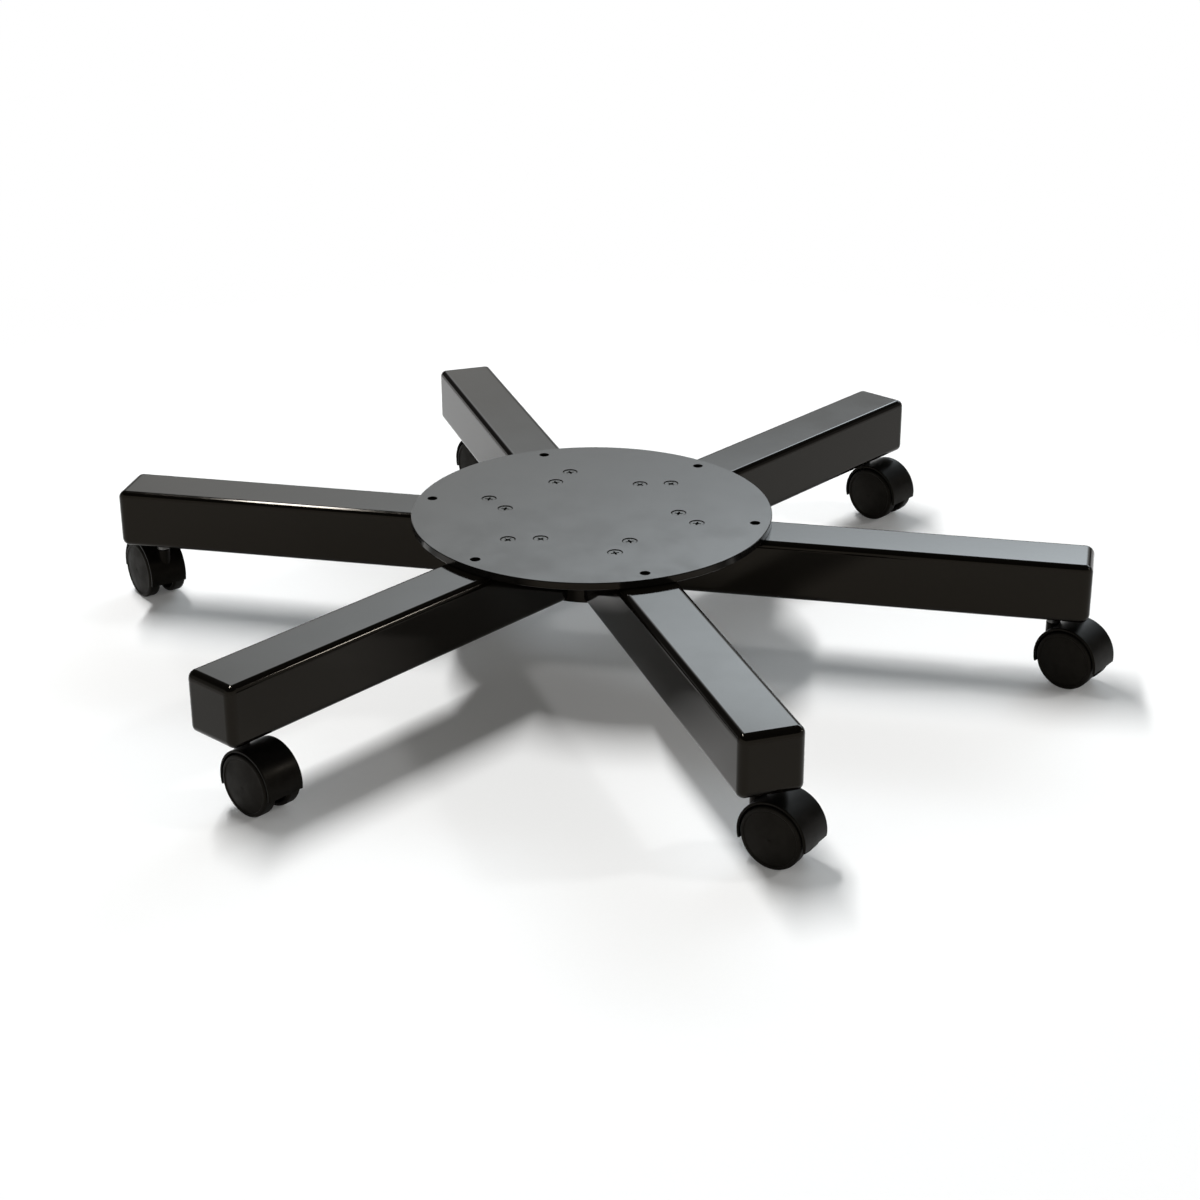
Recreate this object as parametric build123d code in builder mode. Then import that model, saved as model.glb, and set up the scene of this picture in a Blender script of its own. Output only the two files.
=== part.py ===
"""Six-legged rolling base for a boat seat: plate, hub, legs and twin-wheel swivel casters.

Millimetres, +Z up. The origin is the centre of the plate's top face, and leg 1 lies along +X.
"""

import os
from math import asin, degrees, radians, tan

from build123d import *

# Base plate, with a bolt circle for the seat's pedestal
leg_count = 6
plate_diameter = 304.8
plate_thickness = 6.35
plate_edge_break = 0.5
bolt_inset = 12.7
bolt_hole_diameter = 8.73

# Plate screws, two to a leg, staggered across its centre line
screw_shank_diameter = 6.35
screw_head_diameter = 11.9
screw_head_angle = 82.0
screw_length = 15.9
screw_end_chamfer = 0.8
screw_setback = 9.5
screw_step_along = 19.05
screw_step_across = 19.05
screw_head_sunk = 0.6
screw_seat_clearance = 0.03
plate_hole_clearance = 0.25
screw_recess_across = 7.0
screw_recess_slot = 1.6
screw_recess_core = 3.4
screw_recess_depth = 2.6
screw_recess_taper = 12.0

# Legs and the hub that they butt against
leg_side = 50.8
leg_wall = 3.2
leg_edge_radius = 5.5
leg_end_radius = 7.0
leg_reach = 418.6
hub_diameter = 127.0
hub_wall = 6.35

# Caster stem, its socket in the leg and its grip ring
stem_inset = 28.6
stem_diameter = 11.0
stem_grip_length = 34.0
stem_top_chamfer = 1.2
neck_diameter = 11.4
socket_diameter = 15.9
socket_length = 40.0
socket_clearance = 0.05
grip_groove_depth = 0.9
grip_groove_width = 3.0
grip_groove_below_top = 6.0
grip_ring_gap = 4.0
grip_ring_clearance = 0.03
pin_diameter = 8.0
pin_length = 20.0
pin_end_chamfer = 0.8

# Caster hood, web and stem housing
caster_height = 59.5
caster_trail = 20.5
hood_width = 33.0
hood_wall = 1.9
hood_front_drop = 7.5
hood_rear_drop = 4.2
hood_rim_round = 0.8
web_thickness = 11.0
web_drop = 3.5
axle_boss_diameter = 15.0
housing_diameter = 11.8
housing_rise = 24.5
housing_top_chamfer = 0.6
swivel_clearance = 0.06
swivel_gap = 0.3

# Caster wheels and axle
wheel_diameter = 50.0
wheel_rim_wall = 3.0
wheel_tread_round = 2.2
wheel_disc_wall = 2.2
wheel_dome_diameter = 43.0
wheel_dome_rise = 1.5
wheel_groove = 0.5
wheel_hub_diameter = 13.0
wheel_side_gap = 0.5
wheel_hood_gap = 1.5
wheel_face_stand = 1.0
axle_diameter = 6.0
axle_clearance = 0.05
axle_seat_clearance = 0.02
axle_end_gap = 0.4

# Headings of the casters at rest, about +Z from +X, for legs 1 to 6
caster_headings = (-26.5, -30.0, -38.0, 136.5, -30.5, -21.5)

# Levels and places that follow from the sizes above
leg_top = -plate_thickness
leg_bottom = leg_top - leg_side
leg_middle = (leg_top + leg_bottom) / 2
floor_level = leg_bottom - caster_height
leg_angles = [360.0 / leg_count * i for i in range(leg_count)]
bolt_circle = plate_diameter - 2 * bolt_inset
hub_radius = hub_diameter / 2
screw_inner_at = hub_radius + screw_setback
stem_at = leg_reach - stem_inset
stem_top = leg_bottom + stem_grip_length
groove_top = stem_top - grip_groove_below_top
groove_bottom = groove_top - grip_groove_width
wheel_radius = wheel_diameter / 2
axle_level = floor_level + wheel_radius
hood_inner_radius = wheel_radius + wheel_hood_gap
hood_outer_radius = hood_inner_radius + hood_wall
hood_front_angle = 180.0 + degrees(asin(hood_front_drop / hood_outer_radius))
hood_rear_angle = -degrees(asin(hood_rear_drop / hood_outer_radius))
housing_top = axle_level + housing_rise
pin_bottom = housing_top - pin_length
wheel_inner = housing_diameter / 2 + wheel_side_gap
wheel_outer = hood_width / 2 + wheel_face_stand
wheel_disc_inside = wheel_outer - wheel_disc_wall
head_half_angle = radians(screw_head_angle / 2)
head_slack = screw_seat_clearance + screw_head_sunk * tan(head_half_angle)
countersink_diameter = screw_head_diameter + 2 * head_slack
head_depth = (screw_head_diameter - screw_shank_diameter) / 2 / tan(head_half_angle)
screw_places = [
    (screw_inner_at, screw_step_across / 2),
    (screw_inner_at + screw_step_along, -screw_step_across / 2),
]

# Caster planes: the stem's axis is Z, the wheels trail along +X and the axle lies along Y
axle_plane = Plane(origin=(caster_trail, 0, axle_level), x_dir=(1, 0, 0), z_dir=(0, -1, 0))
left_wheel_plane = Plane(origin=(caster_trail, 0, axle_level), x_dir=(1, 0, 0), z_dir=(0, 1, 0))
right_wheel_plane = axle_plane


def leg_place(index):
    """Returns the turn that carries a piece from leg 1 to another leg."""
    return Location((0, 0, 0), (0, 0, leg_angles[index]))


def caster_place(index):
    """Returns the place of a caster's stem axis on the floor, turned to its heading."""
    foot = Vector(stem_at, 0, 0).rotate(Axis.Z, leg_angles[index])
    return Location((foot.X, foot.Y, 0), (0, 0, caster_headings[index]))


def save(part, name):
    """Labels a finished piece and writes its STEP file."""
    part.label = name
    export_step(part, f"parts/{name}.step")


# Top plate
with BuildPart() as top_plate:
    with BuildSketch(Plane.XY.offset(leg_top)):
        Circle(plate_diameter / 2)
    extrude(amount=plate_thickness)
    chamfer(top_plate.edges().filter_by(GeomType.CIRCLE), plate_edge_break)
    with PolarLocations(bolt_circle / 2, leg_count):
        Hole(bolt_hole_diameter / 2)
    with PolarLocations(0, leg_count):
        with Locations(*screw_places):
            CounterSinkHole(
                screw_shank_diameter / 2 + plate_hole_clearance,
                countersink_diameter / 2,
                counter_sink_angle=screw_head_angle,
            )

# Plate screw, with the flat of its head on the XY plane
with BuildPart() as plate_screw:
    with BuildSketch(Plane.XZ):
        with BuildLine():
            Polyline(
                (0, 0),
                (screw_head_diameter / 2, 0),
                (screw_shank_diameter / 2, -head_depth),
                (screw_shank_diameter / 2, screw_end_chamfer - screw_length),
                (screw_shank_diameter / 2 - screw_end_chamfer, -screw_length),
                (0, -screw_length),
                close=True,
            )
        make_face()
    revolve(axis=Axis.Z)
    with BuildSketch(Plane.XY):
        Rectangle(screw_recess_across, screw_recess_slot)
        Rectangle(screw_recess_slot, screw_recess_across)
        Circle(screw_recess_core / 2)
    extrude(amount=-screw_recess_depth, taper=screw_recess_taper, mode=Mode.SUBTRACT)

with BuildPart() as plate_screws:
    with Locations((0, 0, -screw_head_sunk)):
        with PolarLocations(0, leg_count):
            with Locations(*screw_places):
                add(plate_screw.part)

# Hub: a short round tube under the plate
with BuildPart() as hub:
    with BuildSketch(Plane.XY.offset(leg_bottom)):
        Circle(hub_radius)
        Circle(hub_radius - hub_wall, mode=Mode.SUBTRACT)
    extrude(amount=leg_side)

# Leg 1: square tube with a closed rounded end, coped to the hub at its inner end
with BuildPart() as leg:
    with BuildSketch(Plane.YZ):
        with Locations((0, leg_middle)):
            RectangleRounded(leg_side, leg_side, leg_edge_radius)
    extrude(amount=leg_reach)
    end_face = leg.faces().sort_by(Axis.X)[-1]
    fillet(end_face.edges(), leg_end_radius)
    with BuildSketch(Plane.YZ):
        with Locations((0, leg_middle)):
            RectangleRounded(
                leg_side - 2 * leg_wall,
                leg_side - 2 * leg_wall,
                leg_edge_radius - leg_wall,
            )
    extrude(amount=leg_reach - leg_wall, mode=Mode.SUBTRACT)
    with BuildSketch(Plane.XY.offset(leg_bottom)):
        Circle(hub_radius)
    extrude(amount=leg_side, mode=Mode.SUBTRACT)
    with Locations(Plane.XY.offset(leg_top)):
        with Locations(*screw_places):
            Hole(screw_shank_diameter / 2 + screw_seat_clearance, depth=2 * leg_wall)
        with Locations((bolt_circle / 2, 0)):
            Hole(bolt_hole_diameter / 2, depth=2 * leg_wall)
    with Locations((stem_at, 0, leg_bottom + 2 * leg_wall)):
        Hole(socket_diameter / 2, depth=2 * leg_wall)

# Stem socket: a sleeve through the leg's lower wall
with BuildPart() as stem_socket:
    with BuildSketch(Plane.XY.offset(leg_bottom)):
        Circle(socket_diameter / 2)
        Circle(stem_diameter / 2 + socket_clearance, mode=Mode.SUBTRACT)
    extrude(amount=socket_length)

# Caster stem: a gripped shank, a neck that bears on the socket and the pin that the caster turns on
with BuildPart() as caster_stem:
    with BuildSketch(Plane.XZ):
        with BuildLine():
            Polyline(
                (0, pin_bottom),
                (pin_diameter / 2 - pin_end_chamfer, pin_bottom),
                (pin_diameter / 2, pin_bottom + pin_end_chamfer),
                (pin_diameter / 2, housing_top + swivel_gap),
                (neck_diameter / 2, housing_top + swivel_gap),
                (neck_diameter / 2, leg_bottom),
                (stem_diameter / 2, leg_bottom),
                (stem_diameter / 2, groove_bottom),
                (stem_diameter / 2 - grip_groove_depth, groove_bottom),
                (stem_diameter / 2 - grip_groove_depth, groove_top),
                (stem_diameter / 2, groove_top),
                (stem_diameter / 2, stem_top - stem_top_chamfer),
                (stem_diameter / 2 - stem_top_chamfer, stem_top),
                (0, stem_top),
                close=True,
            )
        make_face()
    revolve(axis=Axis.Z)

# Grip ring: a split ring in the stem's groove
with BuildPart() as grip_ring:
    with BuildSketch(Plane.XY.offset(groove_bottom + grip_ring_clearance)):
        Circle(stem_diameter / 2)
        Circle(stem_diameter / 2 - grip_groove_depth + grip_ring_clearance, mode=Mode.SUBTRACT)
        with Locations((stem_diameter / 2, 0)):
            Rectangle(stem_diameter, grip_ring_gap, mode=Mode.SUBTRACT)
    extrude(amount=grip_groove_width - 2 * grip_ring_clearance)

with BuildPart() as grip_rings:
    with PolarLocations(stem_at, leg_count):
        add(grip_ring.part)

# Caster hood: an arched shell over both wheels, a web between them and the stem's housing
with BuildPart() as caster_hood:
    with BuildSketch(axle_plane):
        with BuildLine():
            hood_arc = hood_front_angle - hood_rear_angle
            outer = CenterArc((0, 0), hood_outer_radius, hood_rear_angle, hood_arc)
            inner = CenterArc((0, 0), hood_inner_radius, hood_rear_angle, hood_arc)
            Line(outer @ 0, inner @ 0)
            Line(outer @ 1, inner @ 1)
        make_face()
    extrude(amount=hood_width / 2, both=True)
    rims = caster_hood.edges().filter_by(GeomType.CIRCLE).filter_by(
        lambda edge: edge.radius > hood_inner_radius + hood_wall / 2
    )
    fillet(rims, hood_rim_round)
    with BuildSketch(axle_plane):
        Circle(hood_inner_radius + hood_wall / 2)
        with Locations((0, -web_drop)):
            Rectangle(
                2 * hood_outer_radius,
                hood_outer_radius,
                align=(Align.CENTER, Align.MAX),
                mode=Mode.SUBTRACT,
            )
        Circle(axle_boss_diameter / 2)
    extrude(amount=web_thickness / 2, both=True)
    with BuildSketch(Plane.XZ):
        with BuildLine():
            Polyline(
                (0, axle_level - web_drop),
                (housing_diameter / 2, axle_level - web_drop),
                (housing_diameter / 2, housing_top - housing_top_chamfer),
                (housing_diameter / 2 - housing_top_chamfer, housing_top),
                (0, housing_top),
                close=True,
            )
        make_face()
    revolve(axis=Axis.Z)
    with Locations((0, 0, housing_top)):
        Hole(pin_diameter / 2 + swivel_clearance, depth=pin_length + swivel_gap)
    with Locations(axle_plane):
        Hole(axle_diameter / 2 + axle_seat_clearance)

# Axle pin, held in the hood's web
with BuildPart() as axle:
    with BuildSketch(axle_plane):
        Circle(axle_diameter / 2)
    extrude(amount=wheel_disc_inside - axle_end_gap, both=True)

# Wheel: a cup with a domed outer face and a blind hub, turned about Z from the caster's middle plane
with BuildPart() as wheel:
    with BuildSketch(Plane.XZ):
        with BuildLine():
            bore_radius = axle_diameter / 2 + axle_clearance
            rim_inside = wheel_radius - wheel_rim_wall
            dome_radius = wheel_dome_diameter / 2
            Polyline(
                (0, wheel_disc_inside),
                (bore_radius, wheel_disc_inside),
                (bore_radius, wheel_inner),
                (wheel_hub_diameter / 2, wheel_inner),
                (wheel_hub_diameter / 2, wheel_disc_inside),
                (rim_inside, wheel_disc_inside),
                (rim_inside, wheel_inner),
                (wheel_radius - wheel_tread_round, wheel_inner),
            )
            RadiusArc(
                (wheel_radius - wheel_tread_round, wheel_inner),
                (wheel_radius, wheel_inner + wheel_tread_round),
                -wheel_tread_round,
            )
            Line(
                (wheel_radius, wheel_inner + wheel_tread_round),
                (wheel_radius, wheel_outer - wheel_tread_round),
            )
            RadiusArc(
                (wheel_radius, wheel_outer - wheel_tread_round),
                (wheel_radius - wheel_tread_round, wheel_outer),
                -wheel_tread_round,
            )
            Polyline(
                (wheel_radius - wheel_tread_round, wheel_outer),
                (dome_radius + wheel_groove, wheel_outer),
                (dome_radius, wheel_outer - wheel_groove),
            )
            TangentArc(
                (0, wheel_outer - wheel_groove + wheel_dome_rise),
                (dome_radius, wheel_outer - wheel_groove),
                tangent=(1, 0),
            )
            Line((0, wheel_outer - wheel_groove + wheel_dome_rise), (0, wheel_disc_inside))
        make_face()
    revolve(axis=Axis.Z)

# Write each piece at its place
os.makedirs("parts", exist_ok=True)
save(top_plate.part, "top_plate")
save(plate_screws.part, "plate_screws")
save(hub.part, "hub")
save(grip_rings.part, "grip_rings")
for index in range(leg_count):
    number = index + 1
    save(leg.part.moved(leg_place(index)), f"leg_{number}")
    upright = leg_place(index) * Location((stem_at, 0, 0))
    save(stem_socket.part.moved(upright), f"stem_socket_{number}")
    save(caster_stem.part.moved(upright), f"caster_stem_{number}")
    place = caster_place(index)
    save(caster_hood.part.moved(place), f"caster_hood_{number}")
    save(axle.part.moved(place), f"axle_{number}")
    save(wheel.part.moved(place * left_wheel_plane.location), f"wheel_{number}_left")
    save(wheel.part.moved(place * right_wheel_plane.location), f"wheel_{number}_right")
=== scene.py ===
"""Studio scene of a six-legged rolling base for a boat seat, dressed on its CAD frame.

The base is a round black plate screwed onto six square tube legs, each leg carried by a hooded
twin-wheel caster. Every solid comes from the CAD frame. This script gives each one its finish and
sets up the floor, the surroundings, the lamps and the camera.
"""

import logging
import math
from dataclasses import dataclass, field
from enum import Enum

import bmesh
import bpy
from mathutils import Matrix, Quaternion, Vector


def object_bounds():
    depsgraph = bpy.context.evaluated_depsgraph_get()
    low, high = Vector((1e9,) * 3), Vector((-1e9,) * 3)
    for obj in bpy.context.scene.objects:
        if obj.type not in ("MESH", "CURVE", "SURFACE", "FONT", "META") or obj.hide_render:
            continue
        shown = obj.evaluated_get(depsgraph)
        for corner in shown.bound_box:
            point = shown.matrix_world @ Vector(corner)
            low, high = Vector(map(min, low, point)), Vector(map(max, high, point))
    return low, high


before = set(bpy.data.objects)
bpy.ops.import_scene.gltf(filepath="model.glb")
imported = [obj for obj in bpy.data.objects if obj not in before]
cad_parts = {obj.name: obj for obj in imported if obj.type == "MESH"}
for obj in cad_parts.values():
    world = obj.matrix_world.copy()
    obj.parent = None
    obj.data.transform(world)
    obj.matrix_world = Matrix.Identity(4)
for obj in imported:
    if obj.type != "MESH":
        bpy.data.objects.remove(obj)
cad_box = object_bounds()

log = logging.getLogger("seat_base")

Colour = tuple[float, float, float]
Pair = tuple[float, float]
Socket = bpy.types.NodeSocket

BLACK: Colour = (0.0, 0.0, 0.0)
WHITE: Colour = (1.0, 1.0, 1.0)
LEG_COUNT = 6


class Side(Enum):
    """The two wheels of a caster, named as its rider would see them."""

    LEFT = "left"
    RIGHT = "right"


class Relief(Enum):
    """Kinds of surface relief that a finish can carry, as noise settings (detail, roughness)."""

    PEEL = (1.5, 0.45)
    GRAIN = (3.0, 0.6)
    WAVE = (0.0, 0.5)


class NodeSheet:
    """A node tree that is filled node by node."""

    def __init__(self, tree: bpy.types.NodeTree) -> None:
        """Start from an empty tree."""
        self.tree = tree
        self.tree.nodes.clear()

    def node(self, kind: str, **settings: object) -> bpy.types.Node:
        """Add one node.

        Args:
            kind: the node's Blender type.
            settings: attributes of the node to set.

        Returns:
            The new node.
        """
        made = self.tree.nodes.new(kind)
        for name, value in settings.items():
            setattr(made, name, value)
        return made

    def link(self, source: Socket, target: Socket) -> None:
        """Join an output socket to an input socket."""
        self.tree.links.new(source, target)

    def ramp(self, source: Socket, start: Pair, end: Pair) -> Socket:
        """Turn a range of values smoothly into another one.

        Args:
            source: the value to turn.
            start: where the range starts, and what it becomes there.
            end: where the range ends, and what it becomes there.

        Returns:
            The turned value's socket.
        """
        made = self.node("ShaderNodeMapRange", interpolation_type="SMOOTHSTEP")
        made.inputs["From Min"].default_value, made.inputs["To Min"].default_value = start
        made.inputs["From Max"].default_value, made.inputs["To Max"].default_value = end
        self.link(source, made.inputs["Value"])
        return made.outputs["Result"]

    def compute(self, operation: str, first: Socket, second: Socket | float | None = None) -> Socket:
        """Work out one step of arithmetic.

        Args:
            operation: the step's Blender name.
            first: its first value.
            second: its second value, where it has one.

        Returns:
            The result's socket.
        """
        made = self.node("ShaderNodeMath", operation=operation)
        self.link(first, made.inputs[0])
        if isinstance(second, float):
            made.inputs[1].default_value = second
        elif second is not None:
            self.link(second, made.inputs[1])
        return made.outputs["Value"]


class ShaderTree(NodeSheet):
    """The node tree of one finish.

    Attributes:
        noise_middle: the values between which most of a noise lies.
    """

    noise_middle: Pair = (0.3, 0.7)

    def __init__(self, name: str) -> None:
        """Start an empty tree.

        Args:
            name: name of the finish.
        """
        self.material = bpy.data.materials.new(name)
        self.material.use_nodes = True
        super().__init__(self.material.node_tree)
        self.output = self.tree.nodes.new("ShaderNodeOutputMaterial")
        self.place = self.tree.nodes.new("ShaderNodeTexCoord").outputs["Object"]

    def distance(self) -> Socket:
        """Measure how far a place is from the middle of the plate's top.

        Returns:
            The distance's socket, in metres.
        """
        made = self.node("ShaderNodeVectorMath", operation="LENGTH")
        self.link(self.place, made.inputs[0])
        return made.outputs["Value"]

    def noise(self, size: float, kind: Relief, offset: float = 0.0) -> Socket:
        """Add solid noise read at the piece's own place.

        Args:
            size: width of one feature in metres.
            kind: which relief the noise stands for.
            offset: shift of the pattern in metres, so that two noises differ.

        Returns:
            The noise's height socket.
        """
        shift = self.node("ShaderNodeMapping")
        shift.inputs["Location"].default_value = (offset, offset, offset)
        self.link(self.place, shift.inputs["Vector"])
        made = self.node("ShaderNodeTexNoise", noise_dimensions="3D")
        detail, roughness = kind.value
        made.inputs["Scale"].default_value = 1.0 / size
        made.inputs["Detail"].default_value = detail
        made.inputs["Roughness"].default_value = roughness
        self.link(shift.outputs["Vector"], made.inputs["Vector"])
        return made.outputs["Fac"]

    def spread(self, source: Socket, low: float, high: float) -> Socket:
        """Map the middle of a noise onto a range.

        Args:
            source: the noise.
            low: value where the noise is low.
            high: value where the noise is high.

        Returns:
            The mapped socket.
        """
        start, end = self.noise_middle
        return self.ramp(source, (start, low), (end, high))

    def blend(self, factor: Socket, low: Colour, high: Colour) -> Socket:
        """Blend two colours by a factor.

        Args:
            factor: 0 gives low and 1 gives high.
            low: first colour.
            high: second colour.

        Returns:
            The blended colour's socket.
        """
        made = self.node("ShaderNodeMix", data_type="RGBA")
        colours = [s for s in made.inputs if s.type == "RGBA"]
        colours[0].default_value = (*low, 1.0)
        colours[1].default_value = (*high, 1.0)
        self.link(factor, made.inputs["Factor"])
        return next(s for s in made.outputs if s.type == "RGBA")

    def bump(self, height: Socket, depth: float, under: Socket | None = None) -> Socket:
        """Raise a relief on the surface.

        Args:
            height: the relief, from 0 to 1.
            depth: how deep it is in metres.
            under: the normal of a relief below this one.

        Returns:
            The bumped normal's socket.
        """
        made = self.node("ShaderNodeBump")
        made.inputs["Strength"].default_value = 1.0
        made.inputs["Distance"].default_value = depth
        self.link(height, made.inputs["Height"])
        if under is not None:
            self.link(under, made.inputs["Normal"])
        return made.outputs["Normal"]


@dataclass(frozen=True)
class Hollow:
    """Countersinks and recesses in a piece's top, where the coat is thin and dull.

    Attributes:
        start: height in metres below which they start.
        end: height in metres below which the coat is fully dull.
        reach: distance from the middle in metres within which they lie.
        edge: width in metres over which the dull coat ends there.
        rim: width in metres of the dull rim where the piece meets a neighbour's wall.
        rim_air: how open a place is where that rim is fully dull, and where it ends.
        rim_rays: number of rays that feel for the wall.
    """

    start: float
    end: float
    reach: float
    edge: float = 0.001
    rim: float = 0.0
    rim_air: Pair = (0.84, 0.97)
    rim_rays: int = 16

    def dull(self, sheet: ShaderTree, elsewhere: Socket) -> Socket:
        """Take the shine off in the hollows.

        Args:
            sheet: the finish's nodes.
            elsewhere: the roughness outside them.

        Returns:
            The roughness of the whole piece.
        """
        parts = sheet.node("ShaderNodeSeparateXYZ")
        sheet.link(sheet.place, parts.inputs["Vector"])
        below = sheet.ramp(parts.outputs["Z"], (self.end, 1.0), (self.start, 0.0))
        inside = sheet.ramp(sheet.distance(), (self.reach, 1.0), (self.reach + self.edge, 0.0))
        matt = sheet.compute("MULTIPLY", below, inside)
        if self.rim > 0.0:
            air = sheet.node("ShaderNodeAmbientOcclusion", samples=self.rim_rays)
            air.inputs["Distance"].default_value = self.rim
            closed, clear = self.rim_air
            ring = sheet.ramp(air.outputs["AO"], (closed, 1.0), (clear, 0.0))
            matt = sheet.compute("MAXIMUM", matt, ring)
        return sheet.compute("MAXIMUM", elsewhere, matt)


@dataclass(frozen=True)
class PowderCoat:
    """Baked black powder coat on steel, glossy or satin.

    Attributes:
        name: name of the material.
        dark: colour of the coat between the specks of dust.
        light: colour of the coat where dust lies on it.
        smooth: roughness where the coat flowed out best.
        rough: roughness where it is dullest.
        specular: how strongly the coat's face reflects.
        peel_size: width of one dimple of its orange peel in metres.
        peel_depth: depth of the dimples in metres.
        wave_size: length of the slow waves in the wall below, in metres.
        wave_depth: depth of those waves in metres.
        dust_size: width of one speck of dust in metres.
        cloud_size: width in metres of one patch that flowed out alike.
        sheen: tint of what it reflects head-on.
        hollow: where the piece has dull hollows, if it has any.
    """

    name: str
    dark: Colour
    light: Colour
    smooth: float
    rough: float
    specular: float
    peel_size: float
    peel_depth: float
    wave_size: float
    wave_depth: float
    dust_size: float = 0.0011
    cloud_size: float = 0.035
    sheen: Colour = (1.0, 0.88, 0.72)
    hollow: Hollow | None = None

    def make(self) -> bpy.types.Material:
        """Build the material.

        Returns:
            The finished material.
        """
        sheet = ShaderTree(self.name)
        coat = sheet.node("ShaderNodeBsdfPrincipled")
        coat.inputs["Specular IOR Level"].default_value = self.specular
        coat.inputs["Specular Tint"].default_value = (*self.sheen, 1.0)
        dust = sheet.spread(sheet.noise(self.dust_size, Relief.GRAIN), 0.0, 1.0)
        sheet.link(sheet.blend(dust, self.dark, self.light), coat.inputs["Base Color"])
        cloud = sheet.noise(self.cloud_size, Relief.GRAIN, offset=1.7)
        roughness = sheet.spread(cloud, self.smooth, self.rough)
        if self.hollow is not None:
            roughness = self.hollow.dull(sheet, roughness)
        sheet.link(roughness, coat.inputs["Roughness"])
        wave = sheet.bump(sheet.noise(self.wave_size, Relief.WAVE, offset=0.4), self.wave_depth)
        peel = sheet.noise(self.peel_size, Relief.PEEL, offset=2.3)
        sheet.link(sheet.bump(peel, self.peel_depth, wave), coat.inputs["Normal"])
        sheet.link(coat.outputs["BSDF"], sheet.output.inputs["Surface"])
        return sheet.material


@dataclass(frozen=True)
class MouldedNylon:
    """Black nylon moulding with the fine grain of its mould.

    Attributes:
        name: name of the material.
        dark: colour of clean nylon.
        light: colour where it is scuffed and dusty.
        smooth: roughness of its polished places.
        rough: roughness of its dull places.
        specular: how strongly the skin reflects.
        grain_size: width of one grain in metres.
        grain_depth: depth of the grain in metres.
        scuff_size: width of one scuff in metres.
        cloud_size: width in metres of one patch that is as dull all over.
        sheen: tint of what it reflects head-on.
    """

    name: str
    dark: Colour
    light: Colour
    smooth: float
    rough: float
    specular: float
    grain_size: float
    grain_depth: float
    scuff_size: float = 0.006
    cloud_size: float = 0.012
    sheen: Colour = (1.0, 0.88, 0.7)

    def make(self) -> bpy.types.Material:
        """Build the material.

        Returns:
            The finished material.
        """
        sheet = ShaderTree(self.name)
        skin = sheet.node("ShaderNodeBsdfPrincipled")
        skin.inputs["Specular IOR Level"].default_value = self.specular
        skin.inputs["Specular Tint"].default_value = (*self.sheen, 1.0)
        scuff = sheet.spread(sheet.noise(self.scuff_size, Relief.GRAIN, offset=0.9), 0.0, 1.0)
        sheet.link(sheet.blend(scuff, self.dark, self.light), skin.inputs["Base Color"])
        cloud = sheet.noise(self.cloud_size, Relief.GRAIN, offset=3.1)
        sheet.link(sheet.spread(cloud, self.smooth, self.rough), skin.inputs["Roughness"])
        grain = sheet.bump(sheet.noise(self.grain_size, Relief.GRAIN), self.grain_depth)
        sheet.link(grain, skin.inputs["Normal"])
        sheet.link(skin.outputs["BSDF"], sheet.output.inputs["Surface"])
        return sheet.material


@dataclass(frozen=True)
class DarkMetal:
    """Bare or blackened steel with fine tool marks.

    Attributes:
        name: name of the material.
        dark: colour where it is stained.
        light: colour where it is clean.
        smooth: roughness down in the tool marks.
        rough: roughness on the ridges between them.
        metallic: 1 for bare steel, less where an oxide covers it.
        mark_size: width of one mark in metres.
        mark_depth: depth of the marks in metres.
        stain_size: width of one stain in metres.
    """

    name: str
    dark: Colour
    light: Colour
    smooth: float
    rough: float
    metallic: float
    mark_size: float
    mark_depth: float
    stain_size: float = 0.003

    def make(self) -> bpy.types.Material:
        """Build the material.

        Returns:
            The finished material.
        """
        sheet = ShaderTree(self.name)
        metal = sheet.node("ShaderNodeBsdfPrincipled")
        metal.inputs["Metallic"].default_value = self.metallic
        stain = sheet.spread(sheet.noise(self.stain_size, Relief.GRAIN, offset=0.6), 0.0, 1.0)
        sheet.link(sheet.blend(stain, self.dark, self.light), metal.inputs["Base Color"])
        marks = sheet.noise(self.mark_size, Relief.GRAIN, offset=1.1)
        sheet.link(sheet.spread(marks, self.smooth, self.rough), metal.inputs["Roughness"])
        sheet.link(sheet.bump(marks, self.mark_depth), metal.inputs["Normal"])
        sheet.link(metal.outputs["BSDF"], sheet.output.inputs["Surface"])
        return sheet.material


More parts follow.
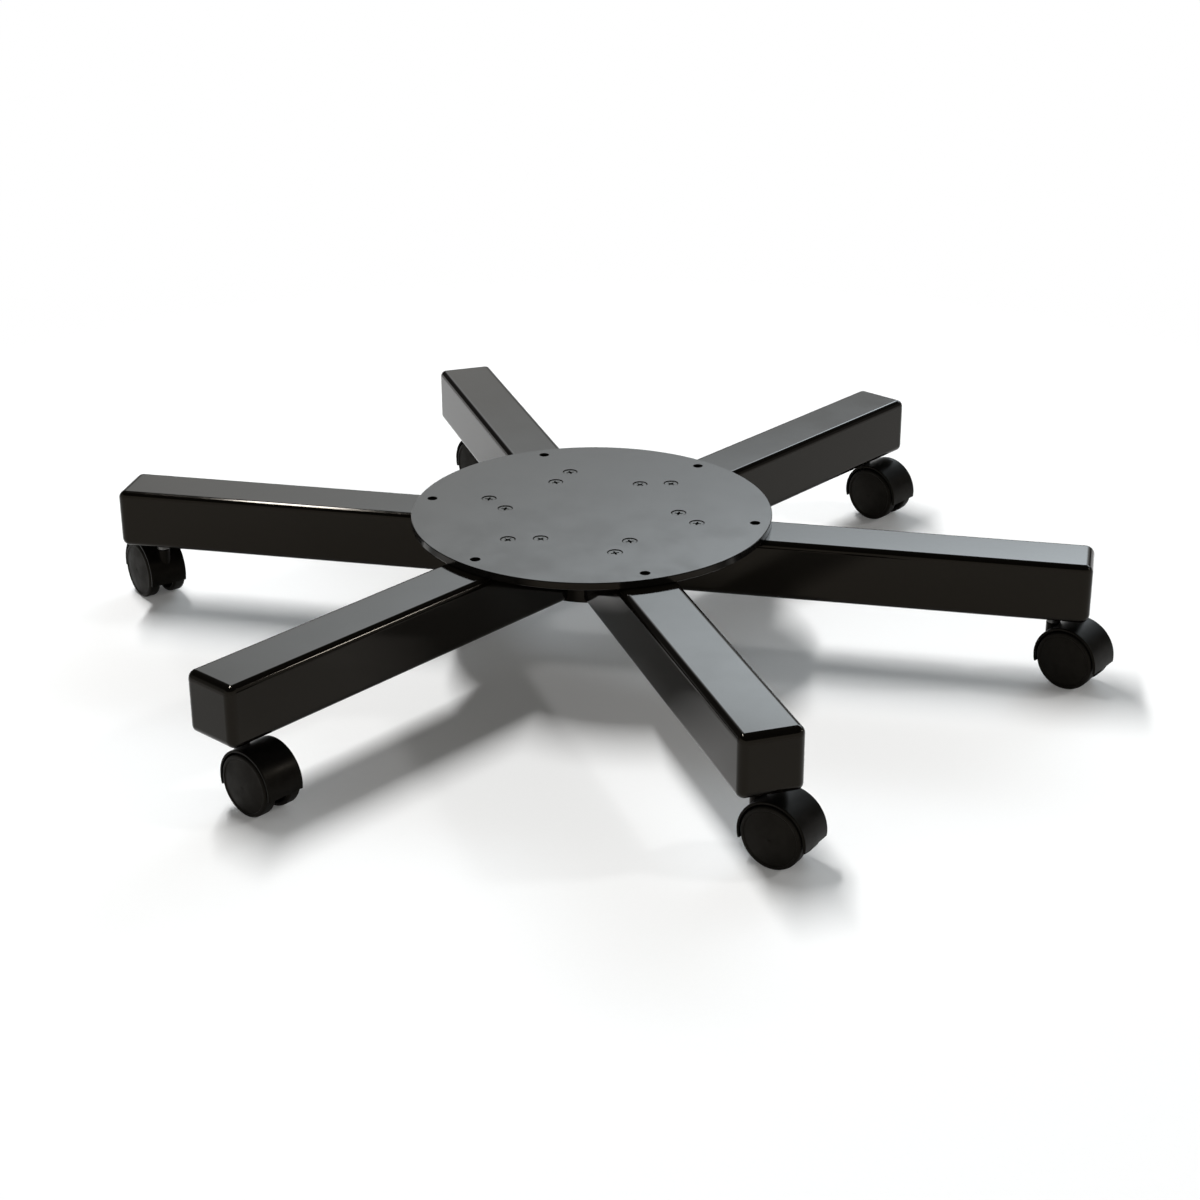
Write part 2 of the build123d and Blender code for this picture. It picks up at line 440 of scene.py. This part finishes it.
@dataclass(frozen=True)
class StudioPaper:
    """Matt white paper under the object, fading out to the white surroundings.

    Attributes:
        name: name of the material.
        colour: colour of the paper.
        glow: brightness added where the camera or a mirror sees it, in the middle and farther out;
            less in the middle, a painted shade under the base.
        glow_from: distance from the middle in metres where that starts to rise.
        fade_from: distance from the middle in metres where the paper starts to fade.
        fade_to: distance in metres where it is gone.
        tooth_size: width of one fibre of its tooth in metres.
        tooth_shade: share of its colour that the tooth's hollows keep.
    """

    name: str
    colour: Colour
    glow: Pair
    glow_from: float
    fade_from: float
    fade_to: float
    tooth_size: float = 0.002
    tooth_shade: float = 0.99

    def make(self) -> bpy.types.Material:
        """Build the material.

        Returns:
            The finished material.
        """
        sheet = ShaderTree(self.name)
        paper = sheet.node("ShaderNodeBsdfDiffuse")
        tooth = sheet.spread(sheet.noise(self.tooth_size, Relief.GRAIN), self.tooth_shade, 1.0)
        sheet.link(sheet.blend(tooth, BLACK, self.colour), paper.inputs["Color"])
        path = sheet.node("ShaderNodeLightPath")
        seen = path.outputs["Is Camera Ray"]
        for mirror in ("Is Glossy Ray", "Is Transmission Ray"):
            seen = sheet.compute("MAXIMUM", seen, path.outputs[mirror])
        far = sheet.distance()
        low, high = self.glow
        # The added glow is lower in the middle than farther out, so the floor under the base stays
        # darker: a painted shade that the legs' sides mirror.
        rise = sheet.ramp(far, (self.glow_from, low), (self.fade_from, high))
        glow = sheet.node("ShaderNodeEmission")
        sheet.link(sheet.compute("MULTIPLY", seen, rise), glow.inputs["Strength"])
        bright = sheet.node("ShaderNodeAddShader")
        sheet.link(paper.outputs["BSDF"], bright.inputs[0])
        sheet.link(glow.outputs["Emission"], bright.inputs[1])
        fade = sheet.ramp(far, (self.fade_from, 0.0), (self.fade_to, 1.0))
        clear = sheet.node("ShaderNodeBsdfTransparent")
        mixed = sheet.node("ShaderNodeMixShader")
        sheet.link(fade, mixed.inputs["Fac"])
        sheet.link(bright.outputs["Shader"], mixed.inputs[1])
        sheet.link(clear.outputs["BSDF"], mixed.inputs[2])
        sheet.link(mixed.outputs["Shader"], sheet.output.inputs["Surface"])
        return sheet.material


@dataclass
class Finishes:
    """Every finish on the base, made once and shared by the pieces that carry it.

    Attributes:
        hole_reach: distance from the middle in metres that the plate's holes and screws lie within.
    """

    hole_reach: float = 0.146
    leg: bpy.types.Material = field(init=False)
    plate: bpy.types.Material = field(init=False)
    hood: bpy.types.Material = field(init=False)
    wheel: bpy.types.Material = field(init=False)
    screw: bpy.types.Material = field(init=False)
    steel: bpy.types.Material = field(init=False)

    def __post_init__(self) -> None:
        """Make the materials from their sizes and colours."""
        self.leg = PowderCoat(
            name="leg_gloss_black", dark=(0.0016, 0.0013, 0.001), light=(0.0024, 0.002, 0.0015),
            smooth=0.06, rough=0.1, specular=0.157, peel_size=0.0042, peel_depth=0.000004,
            wave_size=0.05, wave_depth=0.000018,
        ).make()
        self.plate = PowderCoat(
            name="plate_gloss_black", dark=(0.0018, 0.0016, 0.0014), light=(0.0034, 0.0032, 0.003),
            smooth=0.14, rough=0.2, specular=0.23, sheen=(0.6, 0.5, 0.38),
            peel_size=0.0012, peel_depth=0.000005, wave_size=0.08, wave_depth=0.000008,
            hollow=Hollow(start=-0.00003, end=-0.0001, reach=self.hole_reach),
        ).make()
        self.hood = MouldedNylon(
            name="caster_black_nylon", dark=(0.0018, 0.0016, 0.0013), light=(0.0032, 0.0029, 0.0025),
            smooth=0.28, rough=0.38, specular=0.056, grain_size=0.0006, grain_depth=0.000008,
        ).make()
        self.wheel = MouldedNylon(
            name="wheel_black_nylon", dark=(0.002, 0.0018, 0.0015), light=(0.0036, 0.0032, 0.0028),
            smooth=0.52, rough=0.64, specular=0.105, grain_size=0.0007, grain_depth=0.000012,
        ).make()
        self.screw = PowderCoat(
            name="screw_black", dark=(0.0018, 0.0016, 0.0014), light=(0.0034, 0.0032, 0.003),
            smooth=0.16, rough=0.24, specular=0.21, peel_size=0.0009, peel_depth=0.000004,
            wave_size=0.02, wave_depth=0.00001,
            hollow=Hollow(start=-0.00061, end=-0.00068, reach=self.hole_reach, rim=0.0025),
        ).make()
        self.steel = DarkMetal(
            name="stem_steel", dark=(0.07, 0.068, 0.065), light=(0.15, 0.147, 0.143),
            smooth=0.28, rough=0.42, metallic=1.0, mark_size=0.0008, mark_depth=0.000006,
        ).make()


def dress(node: str, finish: bpy.types.Material) -> None:
    """Give a CAD node its finish.

    Args:
        node: name of the node.
        finish: material for all of it.
    """
    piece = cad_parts[node]
    for slot in piece.material_slots:
        slot.material = finish
    log.info("%s: %s", node, finish.name)


@dataclass
class TopPlate:
    """The round plate that a pedestal bolts onto, with its screws."""

    plate: str = "top_plate"
    screws: str = "plate_screws"

    def dress(self, finishes: Finishes) -> None:
        """Put the satin coat on the plate and the black finish on its screws."""
        dress(self.plate, finishes.plate)
        dress(self.screws, finishes.screw)


@dataclass
class LegFrame:
    """Six square tubes round a short hub tube, each with a socket in its outer end."""

    hub: str = "hub"
    grip_rings: str = "grip_rings"

    def dress(self, finishes: Finishes) -> None:
        """Put the gloss coat on the tubes and leave the sockets and rings as steel.

        Args:
            finishes: the finishes to choose from.
        """
        dress(self.hub, finishes.leg)
        dress(self.grip_rings, finishes.steel)
        for number in range(1, LEG_COUNT + 1):
            dress(f"leg_{number}", finishes.leg)
            dress(f"stem_socket_{number}", finishes.steel)


@dataclass
class Caster:
    """One hooded caster with two wheels, its axle and its stem.

    Attributes:
        number: number of the leg that it carries.
    """

    number: int

    def dress(self, finishes: Finishes) -> None:
        """Put the nylon on the hood and wheels, and steel on the stem and axle.

        Args:
            finishes: the finishes to choose from.
        """
        dress(f"caster_hood_{self.number}", finishes.hood)
        dress(f"caster_stem_{self.number}", finishes.steel)
        dress(f"axle_{self.number}", finishes.steel)
        for side in Side:
            dress(f"wheel_{self.number}_{side.value}", finishes.wheel)


@dataclass
class Lamp:
    """One soft lamp, placed as seen from the camera.

    Attributes:
        name: name of the lamp.
        azimuth: degrees right of straight behind the object.
        elevation: degrees above the floor.
        distance: metres from the plate.
        width: width of its face in metres.
        height: height of its face in metres.
        power: watts.
        lean: degrees that its face is turned about its own aim.
        colour: its tint.
    """

    name: str
    azimuth: float
    elevation: float
    distance: float
    width: float
    height: float
    power: float
    lean: float = 0.0
    colour: Colour = WHITE

    def build(self, turn: float) -> bpy.types.Object:
        """Make the lamp and aim it at the plate.

        Args:
            turn: the camera's azimuth in degrees.

        Returns:
            The lamp's object.
        """
        around = math.radians(self.azimuth)
        above = math.radians(self.elevation)
        way = Vector((
            math.sin(around) * math.cos(above), math.cos(around) * math.cos(above), math.sin(above)
        ))
        way.rotate(Quaternion((0.0, 0.0, 1.0), math.radians(turn)))
        light = bpy.data.lights.new(self.name, "AREA")
        light.shape = "RECTANGLE"
        light.size = self.width
        light.size_y = self.height
        light.energy = self.power
        light.color = self.colour
        made = bpy.data.objects.new(self.name, light)
        made.matrix_world = (
            Matrix.Translation(way * self.distance)
            @ (-way).to_track_quat("-Z", "Y").to_matrix().to_4x4()
            @ Matrix.Rotation(math.radians(self.lean), 4, "Z")
        )
        bpy.context.scene.collection.objects.link(made)
        log.info("lamp %s: %.1f W", self.name, self.power)
        return made


@dataclass
class Surroundings:
    """A white wall behind the object, a soft window beside it, the room round both and the ground.

    Angles are in degrees, right of straight behind the object as the camera sees it, or above
    the floor. A fade is the pair of angles where something starts to fade and where it has faded.

    Attributes:
        turn: the camera's azimuth in degrees.
        wall: brightness of the wall, on its left and on its right.
        wall_span: angles between which it changes from one to the other.
        wall_left: fade of its left edge.
        wall_right: fade of its right edge.
        wall_top: fade of its top.
        wall_foot: fade towards its foot.
        room: brightness of the room beside the wall.
        front: brightness of the room on the camera's side.
        room_span: how far behind a direction points where front ends and where room starts.
        ceiling: brightness overhead.
        window_centre: the window's angle across and its angle up.
        window_spread: its fade from that centre, across and up.
        window: brightness of its centre.
        window_tint: colour of its light.
        wall_tint: colour of the wall and the room.
        ground_edge: how far up a direction points where the white ground starts to fade and has faded.
    """

    turn: float
    wall: Pair = (1.15, 0.68)
    wall_span: Pair = (-10.0, 8.0)
    wall_left: Pair = (-10.0, -21.0)
    wall_right: Pair = (35.0, 60.0)
    wall_top: Pair = (27.0, 36.0)
    wall_foot: Pair = (17.0, 9.0)
    room: float = 0.08
    front: float = 0.9
    room_span: Pair = (-0.5, 0.5)
    ceiling: float = 0.05
    window_centre: Pair = (25.0, 26.1)
    window_spread: Pair = (22.0, 4.0)
    window: float = 13.4
    window_tint: Colour = (0.82, 0.92, 1.0)
    wall_tint: Colour = (1.0, 0.99, 0.955)
    ground_edge: Pair = (0.05, 0.09)

    def build(self) -> bpy.types.World:
        """Make the surroundings and give them to the scene.

        Returns:
            The scene's world.
        """
        world = bpy.data.worlds.new("studio_surroundings")
        world.use_nodes = True
        sheet = NodeSheet(world.node_tree)
        turned = sheet.node("ShaderNodeVectorRotate", rotation_type="Z_AXIS")
        turned.inputs["Angle"].default_value = -math.radians(self.turn)
        sheet.link(sheet.node("ShaderNodeTexCoord").outputs["Generated"], turned.inputs["Vector"])
        parts = sheet.node("ShaderNodeSeparateXYZ")
        sheet.link(turned.outputs["Vector"], parts.inputs["Vector"])
        across, behind, up = (parts.outputs[axis] for axis in "XYZ")
        azimuth = sheet.compute("ARCTAN2", across, behind)
        elevation = sheet.compute("ARCSINE", up)
        walls = self.build_wall(sheet, azimuth, elevation, behind)
        ground = sheet.ramp(up, *zip(self.ground_edge, (1.0, 0.0)))
        above = sheet.compute("SUBTRACT", walls, sheet.compute("MULTIPLY", walls, ground))
        total = None
        for colour, strength in (
            (self.wall_tint, above),
            (self.window_tint, self.build_window(sheet, azimuth, elevation)),
            (WHITE, ground),
        ):
            light = sheet.node("ShaderNodeBackground")
            light.inputs["Color"].default_value = (*colour, 1.0)
            sheet.link(strength, light.inputs["Strength"])
            glow = light.outputs["Background"]
            if total is not None:
                both = sheet.node("ShaderNodeAddShader")
                sheet.link(total, both.inputs[0])
                sheet.link(glow, both.inputs[1])
                glow = both.outputs["Shader"]
            total = glow
        end = sheet.node("ShaderNodeOutputWorld")
        sheet.link(total, end.inputs["Surface"])
        bpy.context.scene.world = world
        return world

    def build_wall(
        self,
        sheet: NodeSheet,
        azimuth: Socket,
        elevation: Socket,
        behind: Socket,
    ) -> Socket:
        """Light the wall and the room.

        Args:
            sheet: the world's nodes.
            azimuth: angle right of straight behind.
            elevation: angle above the floor.
            behind: share of the direction that points straight behind.

        Returns:
            The brightness of the wall and the room.
        """
        share = None
        for angle, edge in (
            (azimuth, self.wall_left),
            (azimuth, self.wall_right),
            (elevation, self.wall_foot),
        ):
            start, end = sorted(zip((math.radians(a) for a in edge), (1.0, 0.0)))
            fade = sheet.ramp(angle, start, end)
            share = fade if share is None else sheet.compute("MULTIPLY", share, fade)
        level = sheet.ramp(azimuth, *zip((math.radians(a) for a in self.wall_span), self.wall))
        room = sheet.ramp(behind, *zip(self.room_span, (self.front, self.room)))
        lit = sheet.compute("MAXIMUM", room, sheet.compute("MULTIPLY", share, level))
        low, high = (math.radians(angle) for angle in self.wall_top)
        below_top = sheet.compute("MULTIPLY", lit, sheet.ramp(elevation, (low, 1.0), (high, 0.0)))
        return sheet.compute("MAXIMUM", below_top, self.ceiling)

    def build_window(self, sheet: NodeSheet, azimuth: Socket, elevation: Socket) -> Socket:
        """Light the window, which falls off like a bell curve both ways.

        Args:
            sheet: the world's nodes.
            azimuth: angle right of straight behind.
            elevation: angle above the floor.

        Returns:
            The brightness of the window.
        """
        squares = []
        for angle, centre, spread in zip((azimuth, elevation), self.window_centre, self.window_spread):
            away = sheet.compute("SUBTRACT", angle, math.radians(centre))
            share = sheet.compute("DIVIDE", away, math.radians(spread))
            squares.append(sheet.compute("MULTIPLY", share, share))
        fall = sheet.compute("MULTIPLY", sheet.compute("ADD", *squares), -1.0)
        return sheet.compute("MULTIPLY", sheet.compute("EXPONENT", fall), self.window)


@dataclass
class Studio:
    """A white floor, the surroundings and two lamps.

    Attributes:
        turn: the camera's azimuth in degrees.
        floor_radius: radius of the floor in metres.
        floor_sides: number of straight sides that its rim has.
    """

    turn: float
    floor_radius: float = 1.1
    floor_sides: int = 96

    def build_floor(self) -> bpy.types.Object:
        """Lay a round sheet of paper at the wheels' lowest point.

        Returns:
            The floor's object.
        """
        sheet = bmesh.new()
        bmesh.ops.create_circle(
            sheet, cap_ends=True, segments=self.floor_sides, radius=self.floor_radius
        )
        bmesh.ops.translate(sheet, verts=sheet.verts, vec=(0.0, 0.0, cad_box[0].z))
        mesh = bpy.data.meshes.new("studio_floor")
        sheet.to_mesh(mesh)
        sheet.free()
        # The glow is lower in the middle than farther out: a painted shade on the floor under the
        # base.
        paper = StudioPaper(
            name="studio_paper", colour=(0.93, 0.93, 0.925), glow=(0.02, 0.06), glow_from=0.2,
            fade_from=0.55, fade_to=self.floor_radius,
        )
        mesh.materials.append(paper.make())
        floor = bpy.data.objects.new("studio_floor", mesh)
        bpy.context.scene.collection.objects.link(floor)
        return floor

    def build(self) -> None:
        """Lay the floor, light the surroundings and hang the lamps."""
        self.build_floor()
        Surroundings(self.turn).build()
        for lamp in (
            Lamp(
                name="lamp_overhead", azimuth=-37.9, elevation=62.0, distance=6.0,
                width=3.6, height=0.33, power=325.0, lean=43.2,
            ),
            Lamp(
                name="lamp_right", azimuth=91.5, elevation=29.7, distance=6.0,
                width=0.5, height=0.3, power=46.0,
            ),
        ):
            lamp.build(self.turn)


@dataclass
class PhotoCamera:
    """The camera, stood where the photograph was taken.

    Attributes:
        focal_pixels: focal length in pixels of the frame.
        frame_pixels: width and height of the frame in pixels.
        distance: metres from the camera to the middle of the legs' top.
        elevation: degrees above the floor.
        turn: degrees round the object from the -Y side.
        roll: degrees that the camera leans.
        middle: pixel at which the middle of the legs' top shows.
        level: height of the legs' top in metres.
        sensor_width: width of the sensor in millimetres.
        sight: nearest and farthest distance in metres that it sees.
    """

    focal_pixels: float = 2412.4709
    frame_pixels: float = 1200.0
    distance: float = 2.044719
    elevation: float = 22.261998
    turn: float = 12.426968
    roll: float = -0.384481
    middle: Pair = (592.28633, 517.32610)
    level: float = -0.00635
    sensor_width: float = 36.0
    sight: Pair = (0.05, 50.0)

    def build(self) -> bpy.types.Object:
        """Make the camera and set it as the scene's.

        Returns:
            The camera's object.
        """
        above = math.radians(self.elevation)
        stand = Vector((0.0, -math.cos(above), math.sin(above))) * self.distance
        ahead = -stand.normalized()
        right = Vector((1.0, 0.0, 0.0))
        up = right.cross(ahead)
        half = self.frame_pixels / 2
        yaw = math.atan((self.middle[0] - half) / self.focal_pixels)
        pitch = math.atan(-(self.middle[1] - half) / self.focal_pixels * math.cos(yaw))
        ahead.rotate(Quaternion(up, yaw))
        right.rotate(Quaternion(up, yaw))
        ahead.rotate(Quaternion(right, -pitch))
        right.rotate(Quaternion(ahead, -math.radians(self.roll)))
        up = right.cross(ahead)
        axes = Matrix((right, up, -ahead)).transposed().to_4x4()
        lens = bpy.data.cameras.new("photo_camera")
        lens.sensor_width = self.sensor_width
        lens.lens = self.sensor_width * self.focal_pixels / self.frame_pixels
        lens.clip_start, lens.clip_end = self.sight
        made = bpy.data.objects.new("photo_camera", lens)
        made.matrix_world = (
            Matrix.Translation((0.0, 0.0, self.level))
            @ Matrix.Rotation(math.radians(self.turn), 4, "Z")
            @ Matrix.Translation(stand)
            @ axes
        )
        bpy.context.scene.collection.objects.link(made)
        bpy.context.scene.camera = made
        return made


def main() -> None:
    """Dress the base piece by piece, then set up the studio and the camera."""
    logging.basicConfig(level=logging.INFO, format="%(name)s: %(message)s")
    bpy.context.scene.view_settings.view_transform = "Standard"
    finishes = Finishes()
    TopPlate().dress(finishes)
    LegFrame().dress(finishes)
    for number in range(1, LEG_COUNT + 1):
        Caster(number).dress(finishes)
    camera = PhotoCamera()
    camera.build()
    Studio(camera.turn).build()


if __name__ == "__main__":
    main()
